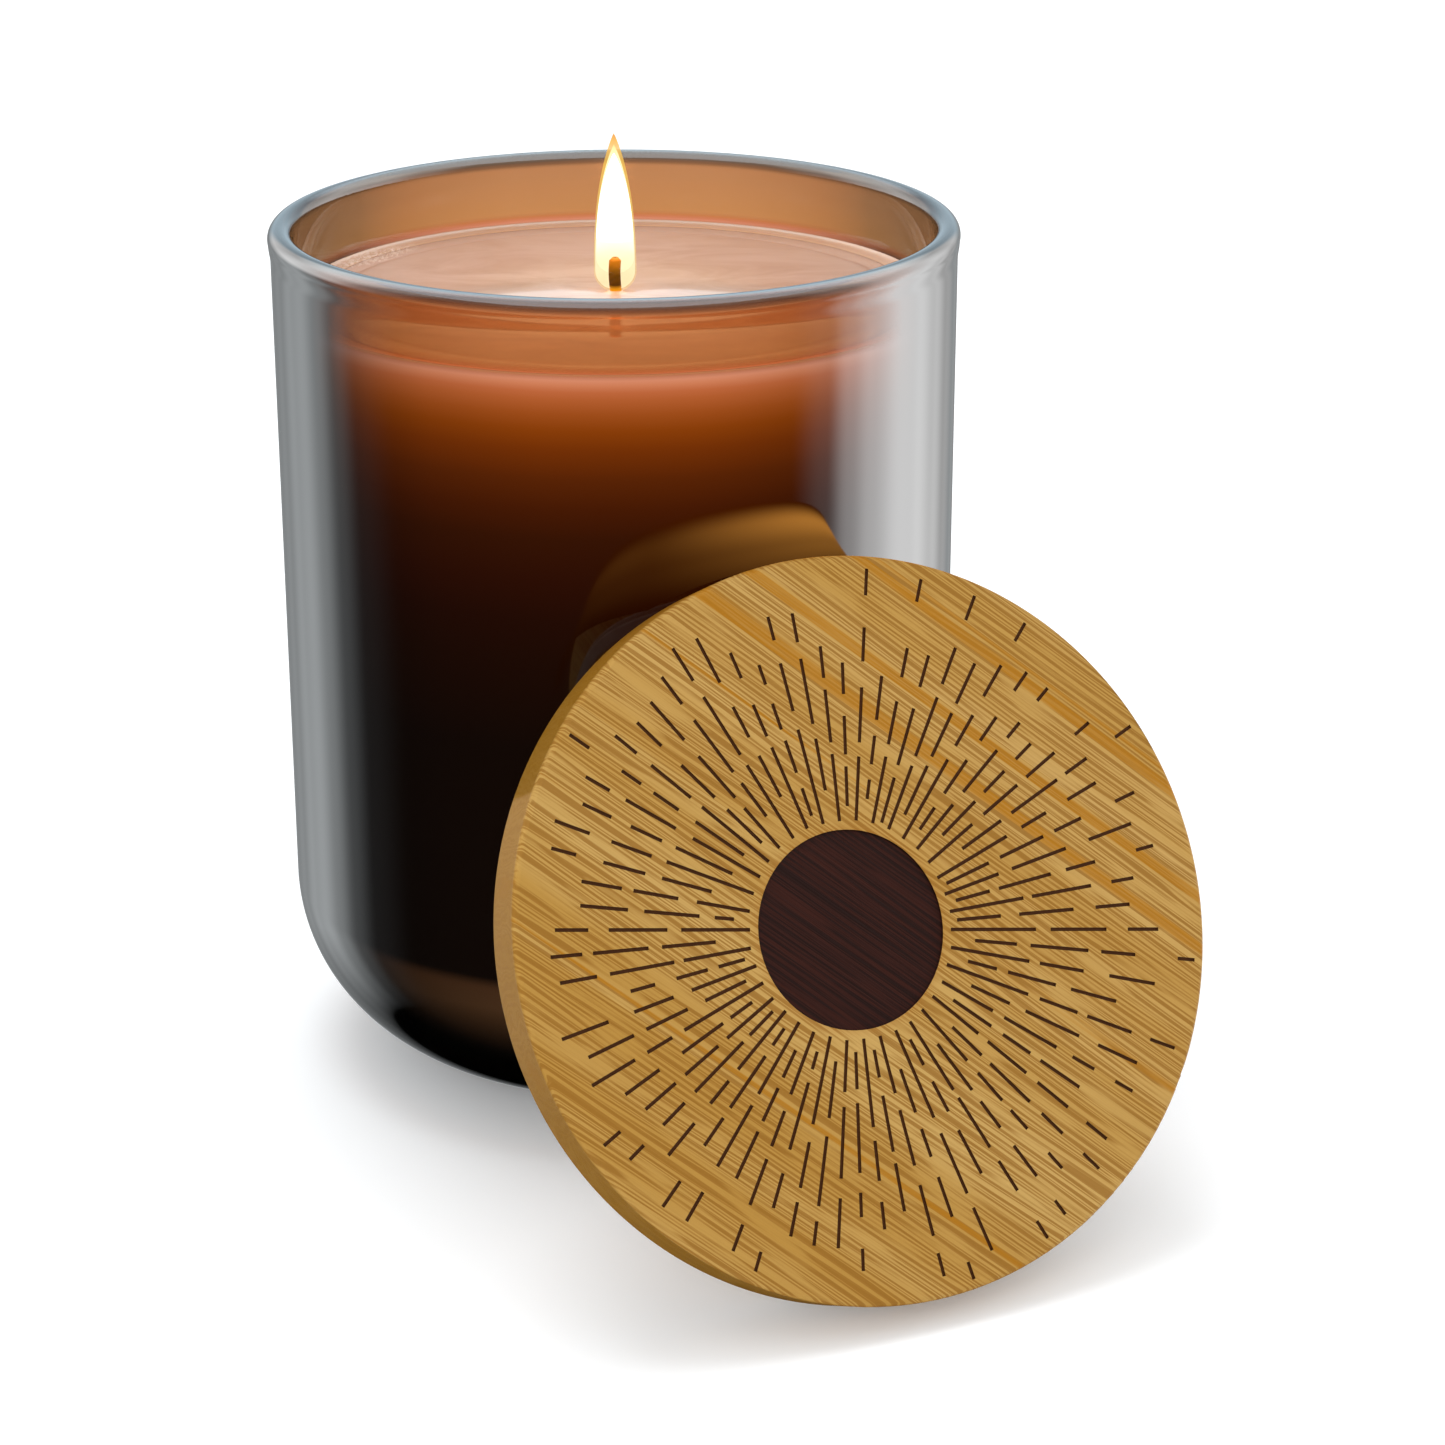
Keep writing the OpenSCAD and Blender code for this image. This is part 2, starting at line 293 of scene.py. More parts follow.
def glass_material():
    """Amber-smoked glass: clear round the headspace, painted dark and glowing over the wax.

    The candle lights the wax from above. Over the wax the wall is opaque, a near-black
    painted shade, and carries that light as a painted glow, from the bright fill line down
    to the dark, and the light that the heavy base gathers at the heel.
    """
    n = Nodes("smoked_glass")
    x, y, z = n.split(n.position())[:3]
    cloud = n.math("SUBTRACT", n.noise(n.position(), 28.0, 2.0), 0.5)
    height = n.math("ADD", n.span(z, 0.0, RIM_Z), n.math("MULTIPLY", cloud, 0.006))
    # amber glass by height; at the lip a painted shade band, then a painted silver-grey sheen
    tint = n.ramp(height, [
        (0.00, (0.30, 0.20, 0.15)),
        (0.90, (0.78, 0.335, 0.105)),
        (0.984, (0.66, 0.28, 0.11)),
        (0.9875, (0.22, 0.10, 0.05)),
        (0.992, (0.06, 0.045, 0.04)),
        (0.998, (0.12, 0.14, 0.16)),
    ])
    facing = n.add("LayerWeight", {"Blend": 0.5}).outputs["Facing"]
    thick = n.ramp(facing, [(0.07, (1.0, 1.0, 1.0)), (0.13, (0.90, 0.88, 0.86)),
                            (0.24, (0.70, 0.66, 0.60)), (0.40, (0.32, 0.38, 0.42)),
                            (0.60, (0.22, 0.30, 0.38)), (0.90, (0.16, 0.20, 0.24))])
    smoky = n.mix(1.0, tint, thick, "MULTIPLY")
    glass = n.add("BsdfPrincipled", {
        "Base Color": smoky, "Roughness": 0.05, "IOR": 1.5, "Transmission Weight": 1.0})
    # painted glow: the candle's light in the wax, bright at the fill line and at the heel
    glow = n.ramp(height, [
        (0.06, (0.0008, 0.0008, 0.0008)),
        (0.11, (0.012, 0.006, 0.003)),
        (0.18, (0.075, 0.034, 0.014)),
        (0.206, (0.055, 0.023, 0.009)),
        (0.218, (0.0035, 0.0012, 0.0004)),
        (0.50, (0.0045, 0.0012, 0.0002)),
        (0.605, (0.0105, 0.0018, 0.0)),
        (0.65, (0.0144, 0.0020, 0.0)),
        (0.695, (0.023, 0.0030, 0.0)),
        (0.741, (0.034, 0.0052, 0.0)),
        (0.774, (0.058, 0.0085, 0.0)),
        (0.807, (0.095, 0.0155, 0.0004)),
        (0.839, (0.168, 0.028, 0.0006)),
        (0.861, (0.246, 0.046, 0.0015)),
        (0.878, (0.337, 0.071, 0.009)),
        (0.894, (0.445, 0.107, 0.026)),
        (0.903, (0.521, 0.136, 0.046)),
        (0.911, (0.638, 0.216, 0.102)),
        (0.918, (0.701, 0.275, 0.162)),
        (0.928, (0.560, 0.200, 0.100)),
    ])
    # the painted glow dims where the wall turns away
    through = n.ramp(facing, [(0.065, (1, 1, 1)), (0.20, (0.80, 0.80, 0.80)),
                              (0.305, (0.54, 0.54, 0.54)), (0.424, (0.22, 0.24, 0.28)),
                              (0.48, (0.07, 0.09, 0.12)), (0.56, (0.0, 0.0, 0.0))])
    # near-black base: painted shade over the wax, carrying the painted glow
    body = n.add("BsdfPrincipled", {
        "Base Color": (0.0008, 0.0007, 0.0006, 1), "Roughness": 0.06, "IOR": 1.8,
        "Emission Color": n.mix(1.0, glow, through, "MULTIPLY"), "Emission Strength": 1.0})
    smear = n.noise(n.add("Mapping", {0: n.position(), 3: (1, 1, 0.15)}), 90.0, 3.0)
    ripple = n.bump(smear, 0.04, 0.0004)
    n.put(glass, "Normal", ripple)
    n.put(body, "Normal", ripple)
    # clear above the wax; painted shade and glow below it and where the outer wall turns away
    above = n.span(z, WAX_Z + 0.3 * MM, WAX_Z + 1.3 * MM)
    outside = n.span(n.reach(x, y), BORE_R + 0.8 * MM, WALL_R - 0.5 * MM)
    aslant = n.math("MULTIPLY", outside, n.span(facing, 0.26, 0.48))
    above = n.math("MULTIPLY", above, n.math("SUBTRACT", 1.0, aslant))
    wall = n.add("MixShader", {0: above, 1: body, 2: glass})
    clear = n.add("BsdfTransparent", {0: tint})
    ray = n.add("LightPath").outputs["Is Shadow Ray"]
    both = n.add("MixShader", {0: ray, 1: wall, 2: clear})
    return n.finish(both)


def settle(piece, material, node):
    """A Blender piece that stands in for one CAD node of the jar."""
    dress(piece, material)
    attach(piece, "jar")
    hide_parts(node)


settle(lathe("smoked_glass_jar", jar_profile(), steps=256), glass_material(),
       "glass_jar")


# ---------------------------------------------------------------- wax
FROST = linear(236, 214, 196)         # the pale crystals
WETTING = 0.06 * MM                   # how far the fill reaches into the glass, so no air shows


def frosting(n):
    """A pale patch of crystals where the wax last cooled, behind and to the left."""
    pos = n.position()
    from_patch = n.add("VectorMath", {0: pos, 1: (-33 * MM, 20.5 * MM, WAX_Z)},
                       operation="SUBTRACT")
    turned = n.add("Mapping", {0: from_patch, 2: (0, 0, math.radians(-57)),
                               3: (1, 1, 0)}, vector_type="POINT")
    u, v = n.split(turned)[:2]
    half_length, half_width = 9.5 * MM, 2.6 * MM
    u = n.math("DIVIDE", u, half_length)
    v = n.math("DIVIDE", v, half_width)
    away = n.math("ADD", n.math("MULTIPLY", u, u), n.math("MULTIPLY", v, v))
    patch = n.span(away, 1.0, 0.3)
    needles = n.noise(n.add("Mapping", {0: pos, 3: (1, 0.5, 0)}), 1300.0, 4.0, 0.75, 1.2)
    needles = n.ramp(needles, [(0.46, (0, 0, 0)), (0.56, (1, 1, 1))])
    return n.math("MULTIPLY", n.math("MULTIPLY", patch, needles), 0.75)


def wax_material():
    n = Nodes("wax")
    pos = n.position()
    z = n.split(pos)[2]
    depth = n.span(z, WAX_Z, WAX_Z - 40 * MM)
    mottle = n.noise(pos, 160.0, 4.0, 0.6)
    base = n.mix(mottle, linear(192, 148, 117), linear(202, 160, 130))
    # painted light: the flame's glow in the wax, strongest just under the top, dark deeper down
    glow = n.ramp(depth, [
        (0.00, (0.10, 0.05, 0.03)),
        (0.15, (0.36, 0.13, 0.06)),
        (0.35, (0.24, 0.07, 0.02)),
        (0.65, (0.12, 0.03, 0.006)),
        (1.00, (0.03, 0.006, 0.0)),
    ])
    wet = n.span(z, WAX_Z - 0.3 * MM, WAX_Z - 0.1 * MM, 0.42, 0.06)
    base = n.mix(frosting(n), base, FROST)
    shader = n.add("BsdfPrincipled", {
        "Base Color": base, "Roughness": wet, "IOR": 1.5,
        "Subsurface Weight": 0.35, "Subsurface Scale": 0.004,
        "Subsurface Radius": (1.0, 0.55, 0.3), "Emission Color": glow,
        "Emission Strength": 1.0})
    n.put(shader, "Normal", n.bump(mottle, 0.12, 0.0003))
    return n.finish(shader)


def pool_material():
    n = Nodes("molten_wax")
    pos = n.position()
    x, y = n.split(pos)[:2]
    away = n.span(n.reach(x, y), 0.0, INNER_R)
    swirl = n.ramp(n.noise(n.add("Mapping", {0: pos, 3: (1, 2.0, 1)}), 55.0, 5.0, 0.6, 0.8),
                   [(0.36, (0, 0, 0)), (0.62, (1, 1, 1))])
    milk = n.mix(swirl, linear(176, 143, 126), linear(196, 166, 150))
    base = n.mix(n.math("POWER", away, 3.0), milk, linear(180, 147, 128))
    base = n.mix(frosting(n), base, FROST)
    # painted light: the flame's glow on the pool, bright round the wick, dim at the wall
    lit = n.ramp(away, [
        (0.0, (0.40, 0.16, 0.01)),
        (0.027, (0.30, 0.12, 0.01)),
        (0.040, (0.10, 0.06, 0.03)),
        (0.30, (0.09, 0.06, 0.025)),
        (0.60, (0.05, 0.02, 0.01)),
        (1.0, (0.04, 0.015, 0.008)),
    ])
    shader = n.add("BsdfPrincipled", {
        "Base Color": base, "Roughness": 0.02, "IOR": 1.5, "Specular IOR Level": 0.25,
        "Subsurface Weight": 0.2, "Subsurface Scale": 0.003,
        "Subsurface Radius": (1.0, 0.6, 0.35), "Emission Color": lit,
        "Emission Strength": 1.0})
    n.put(shader, "Normal", n.bump(n.noise(pos, 45.0, 1.0), 0.015, 0.0006))
    return n.finish(shader)


wax = dress("wax_fill", wax_material())
pool = dress("melt_pool", pool_material())


def wax_profile():
    """The fill: it reaches a hair into the glass, climbs the wall and dips under the pool."""
    r = INNER_R + WETTING
    outline = [(0, BASE - WETTING)]
    outline += arc(r - INNER_HEEL, BASE - WETTING + INNER_HEEL, INNER_HEEL, -90, 0, 26)
    outline += [(r, z) for z in (WAX_Z - 60 * MM, WAX_Z - 30 * MM, WAX_Z - 10 * MM)]
    outline += [(r, WAX_Z + 0.55 * MM), (r - 0.12 * MM, WAX_Z + 0.35 * MM),
                (r - 0.4 * MM, WAX_Z + 0.12 * MM), (r - 0.8 * MM, WAX_Z + 0.04 * MM),
                (r - 1.3 * MM, WAX_Z + 0.02 * MM), (r - 2.48 * MM, WAX_Z + 0.02 * MM),
                (r - 2.52 * MM, WAX_Z), (r - 3.2 * MM, WAX_Z - 0.5 * MM),
                (r - 4.2 * MM, WAX_Z - 1.0 * MM), (0, WAX_Z - 1.2 * MM)]
    return outline


settle(lathe("wax_body", wax_profile()), wax.data.materials[0], "wax_fill")


def pool_profile():
    """Liquid wax: a flat mirror that climbs a little at the wick and thins out at its edge."""
    edge = INNER_R - 2.3 * MM
    top = [(WICK_R * 0.9, WAX_Z + 0.42 * MM), (WICK_R + 0.25 * MM, WAX_Z + 0.20 * MM),
           (WICK_R + 0.8 * MM, WAX_Z + 0.06 * MM), (WICK_R + 2 * MM, WAX_Z + 0.02 * MM)]
    top += [(edge * k / 10, WAX_Z + 0.02 * MM) for k in range(2, 11)]
    return [(0, WAX_Z + 0.42 * MM)] + top + [(edge + 0.02 * MM, WAX_Z - 0.03 * MM),
                                             (edge - 0.3 * MM, WAX_Z - 0.5 * MM),
                                             (edge - 2.0 * MM, WAX_Z - 0.9 * MM),
                                             (0, WAX_Z - 1.1 * MM)]


settle(lathe("molten_pool", pool_profile()), pool.data.materials[0], "melt_pool")


# ---------------------------------------------------------------- wick
def wick_material():
    n = Nodes("wick_cotton")
    pos = n.position()
    z = n.split(pos)[2]
    twist = n.add("TexWave", {"Vector": n.add("Mapping", {0: pos, 2: (0.5, 0.35, 0)}),
                              "Scale": 420.0, "Distortion": 1.5, "Detail": 1.0},
                  wave_type="BANDS", bands_direction="Z")
    up = n.span(z, WAX_Z - 1 * MM, wick_high.z)
    fac = twist.outputs["Fac"]
    # the foot's gold is painted light from the flame where the wick leaves the pool; charred
    # above, the tip burning
    char = n.ramp(up, [
        (0.00, linear(214, 160, 70)),
        (0.18, linear(160, 84, 20)),
        (0.30, linear(20, 9, 3)),
        (0.75, linear(16, 7, 2)),
        (0.92, linear(90, 36, 4)),
        (1.00, linear(150, 76, 14)),
    ])
    cotton = n.mix(n.math("MULTIPLY", fac, 0.03), char, linear(200, 100, 20))
    # emission: the burning tip's ember, and painted light on the foot
    tip_ember_and_foot_light = n.ramp(up, [
        (0.00, (0.85, 0.42, 0.02)),
        (0.30, (0.75, 0.26, 0.005)),
        (0.38, (0.09, 0.026, 0.0)),
        (0.62, (0.14, 0.044, 0.0)),
        (0.84, (0.42, 0.13, 0.003)),
        (1.00, (0.50, 0.17, 0.005)),
    ])
    shader = n.add("BsdfPrincipled", {
        "Base Color": cotton, "Roughness": 0.85, "Specular IOR Level": 0.1,
        "Emission Color": tip_ember_and_foot_light, "Emission Strength": 1.0})
    n.put(shader, "Normal", n.bump(fac, 0.4, 0.0002))
    return n.finish(shader)


def braided_wick():
    """A braided cotton wick: a round cord with the crossing lobes of its strands."""
    top, bottom, around, along = wick_high.z, wick_low.z, 36, 220
    lay, lobe_height, tip = 1.1 * MM, 0.045 * MM, 0.45 * MM
    vertices, faces = [], []
    for k in range(along + 1):
        z = bottom + (top - bottom) * k / along
        close = max(0.0, (z - (top - tip)) / tip)
        for i in range(around):
            a = 2 * math.pi * i / around
            lobe = lobe_height * (math.cos(3 * a + z / lay) + math.cos(3 * a - z / lay))
            r = (WICK_R - 0.12 * MM + lobe) * math.sqrt(max(0.0, 1 - 0.75 * close * close))
            vertices.append((r * math.cos(a), r * math.sin(a), z))
    for k in range(along):
        for i in range(around):
            j = (i + 1) % around
            faces.append((k * around + i, k * around + j,
                          (k + 1) * around + j, (k + 1) * around + i))
    faces.append(tuple(range(around - 1, -1, -1)))
    faces.append(tuple(along * around + i for i in range(around)))
    return mesh_object("braided_wick", vertices, faces)


settle(braided_wick(), wick_material(), "wick")


# ---------------------------------------------------------------- small parts in the jar
def plain_material(name, low, high, scale, roughness, metallic=0.0, bump=0.1, stretch=(1, 1, 1)):
    """A two-tone procedural surface: colour and height both follow one noise."""
    n = Nodes(name)
    where = n.add("Mapping", {0: n.position(), 3: stretch})
    grain = n.noise(where, scale, 4.0, 0.6)
    shader = n.add("BsdfPrincipled", {
        "Base Color": n.mix(grain, low, high), "Roughness": roughness, "Metallic": metallic})
    n.put(shader, "Normal", n.bump(grain, bump, 0.0003))
    return n.finish(shader)


dress("wick_core", plain_material("wick_paper", linear(214, 205, 186), linear(236, 230, 214),
                                  900, 0.9))
dress("wick_tab", plain_material("tinned_steel", linear(170, 172, 176), linear(214, 216, 220),
                                 300, 0.28, 1.0, 0.05, (1, 1, 6)))
dress("wick_sticker", plain_material("foam", linear(226, 226, 220), linear(246, 246, 242),
                                     1500, 0.8, 0.0, 0.6))
dress("base_label", plain_material("label_paper", linear(228, 224, 212), linear(244, 241, 232),
                                   700, 0.85, 0.0, 0.15))


# ---------------------------------------------------------------- flame
def flame_skin(name, colour, strength, near, far):
    """A glowing skin: near and far are how much its two sides hide, from foot to tip."""
    n = Nodes(name)
    up = n.span(n.split(n.position())[2], WAX_Z, FLAME_TIP)
    flicker = n.noise(n.add("Mapping", {0: n.position(), 3: (1, 1, 0.3)}), 260.0, 2.0)
    tone = n.mix(n.math("MULTIPLY", flicker, 0.10), n.ramp(up, colour), (1.0, 0.72, 0.30))
    glow = n.add("Emission", {"Color": tone, "Strength": strength})
    clear = n.add("BsdfTransparent", {0: (1, 1, 1, 1)})
    inner = n.add("NewGeometry").outputs["Backfacing"]
    hide = n.mix(inner, n.ramp(up, [(at, (v, v, v)) for at, v in near]),
                 n.ramp(up, [(at, (v, v, v)) for at, v in far]))
    return n.finish(n.add("MixShader", {0: hide, 1: clear, 2: glow}))


def flame_shape(name, radius, bottom, tip, steps=48):
    """A teardrop: full and round low down, drawn out to a fine point."""
    round_foot = 0.13                    # the share of the height that the rounded foot takes
    profile = [(0, bottom)]
    for k in range(1, steps):
        t = k / steps
        foot = math.sqrt(max(0.0, 1 - max(0.0, 1 - t / round_foot) ** 2))
        head = (1 - t ** 2.8) ** 0.9
        profile.append((max(radius * foot * head, 1e-5), bottom + (tip - bottom) * t))
    profile.append((0, tip))
    return lathe(name, profile, steps)


def make_flame():
    """Three skins, outer to core: name, radius, foot, tip, colours, strength, near, far."""
    low = WAX_Z + 0.3 * MM
    skins = (
        ("flame_outer", 2.80 * MM, low, FLAME_TIP,
         [(0.0, (1.0, 0.70, 0.26)), (0.25, (1.0, 0.74, 0.24)), (0.8, (1.0, 0.60, 0.10)),
          (0.95, (1.0, 0.52, 0.06)), (1.0, (0.9, 0.34, 0.06))], 1.0,
         [(0.0, 0.0), (0.24, 0.0), (0.34, 0.22), (0.6, 0.15), (0.85, 0.2), (1.0, 0.8)],
         [(0.0, 0.35), (0.22, 0.40), (0.34, 0.45), (0.85, 0.60), (1.0, 0.9)]),
        ("flame_middle", 2.62 * MM, low + 0.3 * MM, FLAME_TIP - 1.5 * MM,
         [(0.0, (1.0, 0.86, 0.50)), (0.4, (1.0, 0.94, 0.66)), (0.9, (1.0, 0.88, 0.50)),
          (1.0, (1.0, 0.70, 0.16))], 1.6,
         [(0.0, 0.0), (0.24, 0.0), (0.34, 0.30), (0.5, 0.5), (0.8, 0.4), (1.0, 0.8)],
         [(0.0, 0.30), (0.22, 0.45), (0.34, 0.60), (0.5, 0.9), (1.0, 0.95)]),
        ("flame_core", 2.45 * MM, low + 2.4 * MM, FLAME_TIP - 2.6 * MM,
         [(0.0, (1.0, 0.93, 0.60)), (0.3, (1.0, 0.95, 0.72)), (0.42, (1.0, 0.99, 0.95)),
          (1.0, (1.0, 0.99, 0.94))], 9.0,
         [(0.0, 0.0), (0.24, 0.0), (0.34, 0.03), (0.46, 0.85), (0.55, 1.0)],
         [(0.0, 0.0), (0.24, 0.02), (0.34, 0.10), (0.46, 0.85), (0.55, 1.0)]),
    )
    for name, radius, bottom, tip, colour, strength, near, far in skins:
        skin = flame_shape(name, radius, bottom, tip)
        dress(skin, flame_skin(name, colour, strength, near, far))
        skin.visible_shadow = False
        skin.visible_glossy = False
        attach(skin, "jar")


make_flame()


# ---------------------------------------------------------------- bamboo lid
def lid_position(n):
    """Coordinates in the lid's own frame: x across the face, y up it, z out of it."""
    rotation = Matrix((LID_U, LID_V, LID_N)).to_euler("XYZ")
    moved = n.add("VectorMath", {0: n.position(), 1: tuple(LID_C)}, operation="SUBTRACT")
    return n.add("Mapping", {0: moved, 2: tuple(rotation)}, vector_type="POINT")


def bamboo_material(name, shift, light, dark, engraved=True):
    """Caramel bamboo, cut from one board, with the burnt decoration picked out by its depth."""
    n = Nodes(name)
    here = lid_position(n)
    x, y, z = n.split(here)[:3]
    along = n.add("Mapping", {0: here, 2: (0, 0, GRAIN)}, vector_type="POINT")
    stretched = n.add("Mapping", {0: along, 1: (shift, shift * 0.7, 0), 3: (0.016, 1, 1)})
    fibre = n.noise(stretched, 5200.0, 3.0, 0.65)
    broad = n.noise(n.add("Mapping", {0: along, 1: (shift * 2, 0.31 + shift, 0),
                                      3: (0.05, 1, 0.4)}), 130.0, 2.0, 0.5)
    tone = n.mix(n.span(broad, 0.35, 0.65), light, dark)     # slow changes across the board
    grainy = n.ramp(fibre, [(0.40, (0, 0, 0)), (0.62, (1, 1, 1))])
    tone = n.mix(n.math("MULTIPLY", grainy, 0.15), tone, linear(140, 100, 40))
    slow = n.add("Mapping", {0: along, 1: (shift, shift, 0), 3: (0.035, 1, 1)})
    wander = n.noise(slow, 300.0, 2.0, 0.5)
    fade = n.noise(n.add("Mapping", {0: along, 1: (0, shift, 0), 3: (0.10, 1, 1)}), 640.0, 2.0)
    across = n.split(along)[1]

    def rings(pitch, sway, low, high):
        """Fine parallel growth lines: a sine across the grain that wanders and breaks."""
        phase = n.math("ADD", n.math("MULTIPLY", across, 2 * math.pi / pitch),
                       n.math("MULTIPLY", wander, sway))
        wave = n.math("SINE", phase)
        keep = n.ramp(fade, [(low, (0, 0, 0)), (high, (1, 1, 1))])
        return n.math("MULTIPLY", n.ramp(wave, [(0.35, (0, 0, 0)), (0.60, (1, 1, 1))]), keep)

    veins = rings(0.90 * MM, 26.0, 0.36, 0.46)
    fine = rings(0.52 * MM, 40.0, 0.30, 0.50)
    lines = n.math("MAXIMUM", n.math("MULTIPLY", veins, 0.90), n.math("MULTIPLY", fine, 0.80))
    tone = n.mix(n.math("MULTIPLY", lines, 0.80), tone, linear(130, 84, 18))
    # a few long amber bands
    streak = n.ramp(n.noise(n.add("Mapping", {0: along, 1: (0.13, 0.57, 0),
                                              3: (0.007, 1, 0.3)}), 300.0, 2.0, 0.5),
                    [(0.62, (0, 0, 0)), (0.645, (1, 1, 1))])
    tone = n.mix(n.math("MULTIPLY", streak, n.span(fibre, 0.35, 0.6, 0.90, 0.55)), tone,
                 linear(160, 104, 10))
    shader = n.add("BsdfPrincipled", {"Roughness": 0.52, "IOR": 1.5,
                                      "Specular IOR Level": 0.12})
    if engraved:
        ring = n.reach(n.math("ADD", x, MEDAL_SHIFT), y)
        edge = n.reach(x, y)
        in_medal = n.span(ring, MEDAL_R + 0.12 * MM, MEDAL_R)
        sunk = n.span(z, LID_T - 0.02 * MM, LID_T - 0.08 * MM)
        near_face = n.span(z, LID_T - 0.8 * MM, LID_T - 0.7 * MM)
        inside = n.span(edge, LID_R - 0.9 * MM, LID_R - 1.0 * MM)
        burnt = n.math("MULTIPLY", n.math("MULTIPLY", sunk, near_face), inside)
        char = n.mix(fibre, linear(58, 30, 12), linear(86, 50, 22))
        medal = n.mix(n.math("MULTIPLY", lines, 0.8), linear(50, 19, 10), linear(14, 5, 2))
        medal = n.mix(n.math("MULTIPLY", grainy, 0.5), medal, linear(32, 12, 8))
        scorch = n.span(ring, MEDAL_R + 0.9 * MM, MEDAL_R, 0.0, 0.25)
        tone = n.mix(scorch, tone, linear(150, 96, 30))
        tone = n.mix(burnt, tone, n.mix(in_medal, char, medal))
        # the turned side of the board is darker than its face
        side = n.math("MULTIPLY", n.span(edge, LID_R - 0.5 * MM, LID_R - 0.1 * MM),
                      n.span(z, LID_T - 0.2 * MM, LID_T - 0.9 * MM))
        tone = n.mix(n.math("MULTIPLY", side, 0.85), tone, linear(134, 92, 12))
    n.put(shader, "Base Color", tone)
    n.put(shader, "Normal", n.bump(fibre, 0.25, 0.00015))
    return n.finish(shader)


STRIPS = (
    ("lid_strip_1", 0.013, linear(182, 145, 80), linear(168, 126, 56)),
    ("lid_strip_2", 0.241, linear(184, 148, 84), linear(170, 129, 60)),
    ("lid_strip_3", 0.467, linear(183, 146, 82), linear(168, 126, 56)),
    ("lid_strip_4", 0.729, linear(186, 150, 88), linear(174, 134, 66)),
)
for strip_name, strip_shift, strip_light, strip_dark in STRIPS:
    dress(strip_name, bamboo_material(strip_name + "_bamboo", strip_shift, strip_light,
                                      strip_dark))
dress("lid_plug", bamboo_material("plug_bamboo", 0.91, linear(196, 150, 84),
                                  linear(176, 128, 62), engraved=False))


def silicone_material():
    n = Nodes("silicone")
    dust = n.noise(n.position(), 500.0, 3.0)
    shader = n.add("BsdfPrincipled", {
        "Base Color": n.mix(dust, linear(118, 112, 104), linear(140, 134, 126)),
        "Roughness": 0.38, "IOR": 1.41, "Subsurface Weight": 0.5, "Subsurface Scale": 0.002,
        "Subsurface Radius": (1.0, 0.95, 0.85)})
    n.put(shader, "Normal", n.bump(dust, 0.06, 0.0002))
    return n.finish(shader)


dress("seal_ring", silicone_material())


# ---------------------------------------------------------------- studio
def floor_material():
    n = Nodes("floor")
    speck = n.noise(n.position(), 40.0, 3.0)
    shader = n.add("BsdfPrincipled", {
        "Base Color": n.mix(speck, (0.885, 0.905, 0.92), (0.905, 0.925, 0.94)), "Roughness": 0.9,
        "Specular IOR Level": 0.2, "Emission Color": (1, 1, 1, 1), "Emission Strength": 0.14})
    return n.finish(shader)


def make_floor():
    size = 30.0
    floor = mesh_object("floor", [(-size, -size, 0), (size, -size, 0), (size, size, 0),
                                  (-size, size, 0)], [(0, 1, 2, 3)], smooth=False)
    floor.location.z = -0.0002
    dress(floor, floor_material())
    floor.visible_glossy = False      # the glass shows the reflectors, not the sheet
    floor.visible_transmission = False


def as_reflector(obj, material, seen_by):
    """Part of the studio that only one kind of ray can see."""
    obj.data.materials.append(material)
    obj.visible_camera = False
    obj.visible_diffuse = False
    obj.visible_shadow = False
    obj.visible_glossy = seen_by == "glossy"
    obj.visible_transmission = seen_by == "transmission"


def ring_around(name, radius, reach, material, seen_by):
    """An open cylinder round the set."""
    steps, vertices, faces = 120, [], []
    for i in range(steps):
        a = 2 * math.pi * i / steps
        for height in (-reach, reach):
            vertices.append((radius * math.sin(a), -radius * math.cos(a), height))
    for i in range(steps):
        j = (i + 1) % steps
        faces.append((2 * i, 2 * j, 2 * j + 1, 2 * i + 1))
    as_reflector(mesh_object(name, vertices, faces), material, seen_by)


def around_material(name, peak, levels, higher=None, highest=None):
    """Light that follows the direction seen from the jar: 0 is the front, 180 the back."""
    n = Nodes(name)
    x, y, z = n.split(n.add("NewGeometry").outputs["Position"])[:3]
    turn = n.math("ARCTAN2", x, n.math("MULTIPLY", y, -1.0))
    turn = n.span(turn, -math.pi, math.pi)

    def around(table):
        stops = [((at + 180) / 360, tuple(value * t / peak for t in tint))
                 for at, value, tint in table]
        return n.ramp(turn, stops, "EASE")

    tone = around(levels)
    if higher:
        tone = n.mix(n.span(z, -0.58, -1.25), tone, (0.0, 0.0, 0.0))
        tone = n.mix(n.span(z, 0.0, 0.25), tone, around(higher))
        tone = n.mix(n.span(z, 0.65, 0.95), tone, around(highest))
    return n.glow_only(tone, peak)


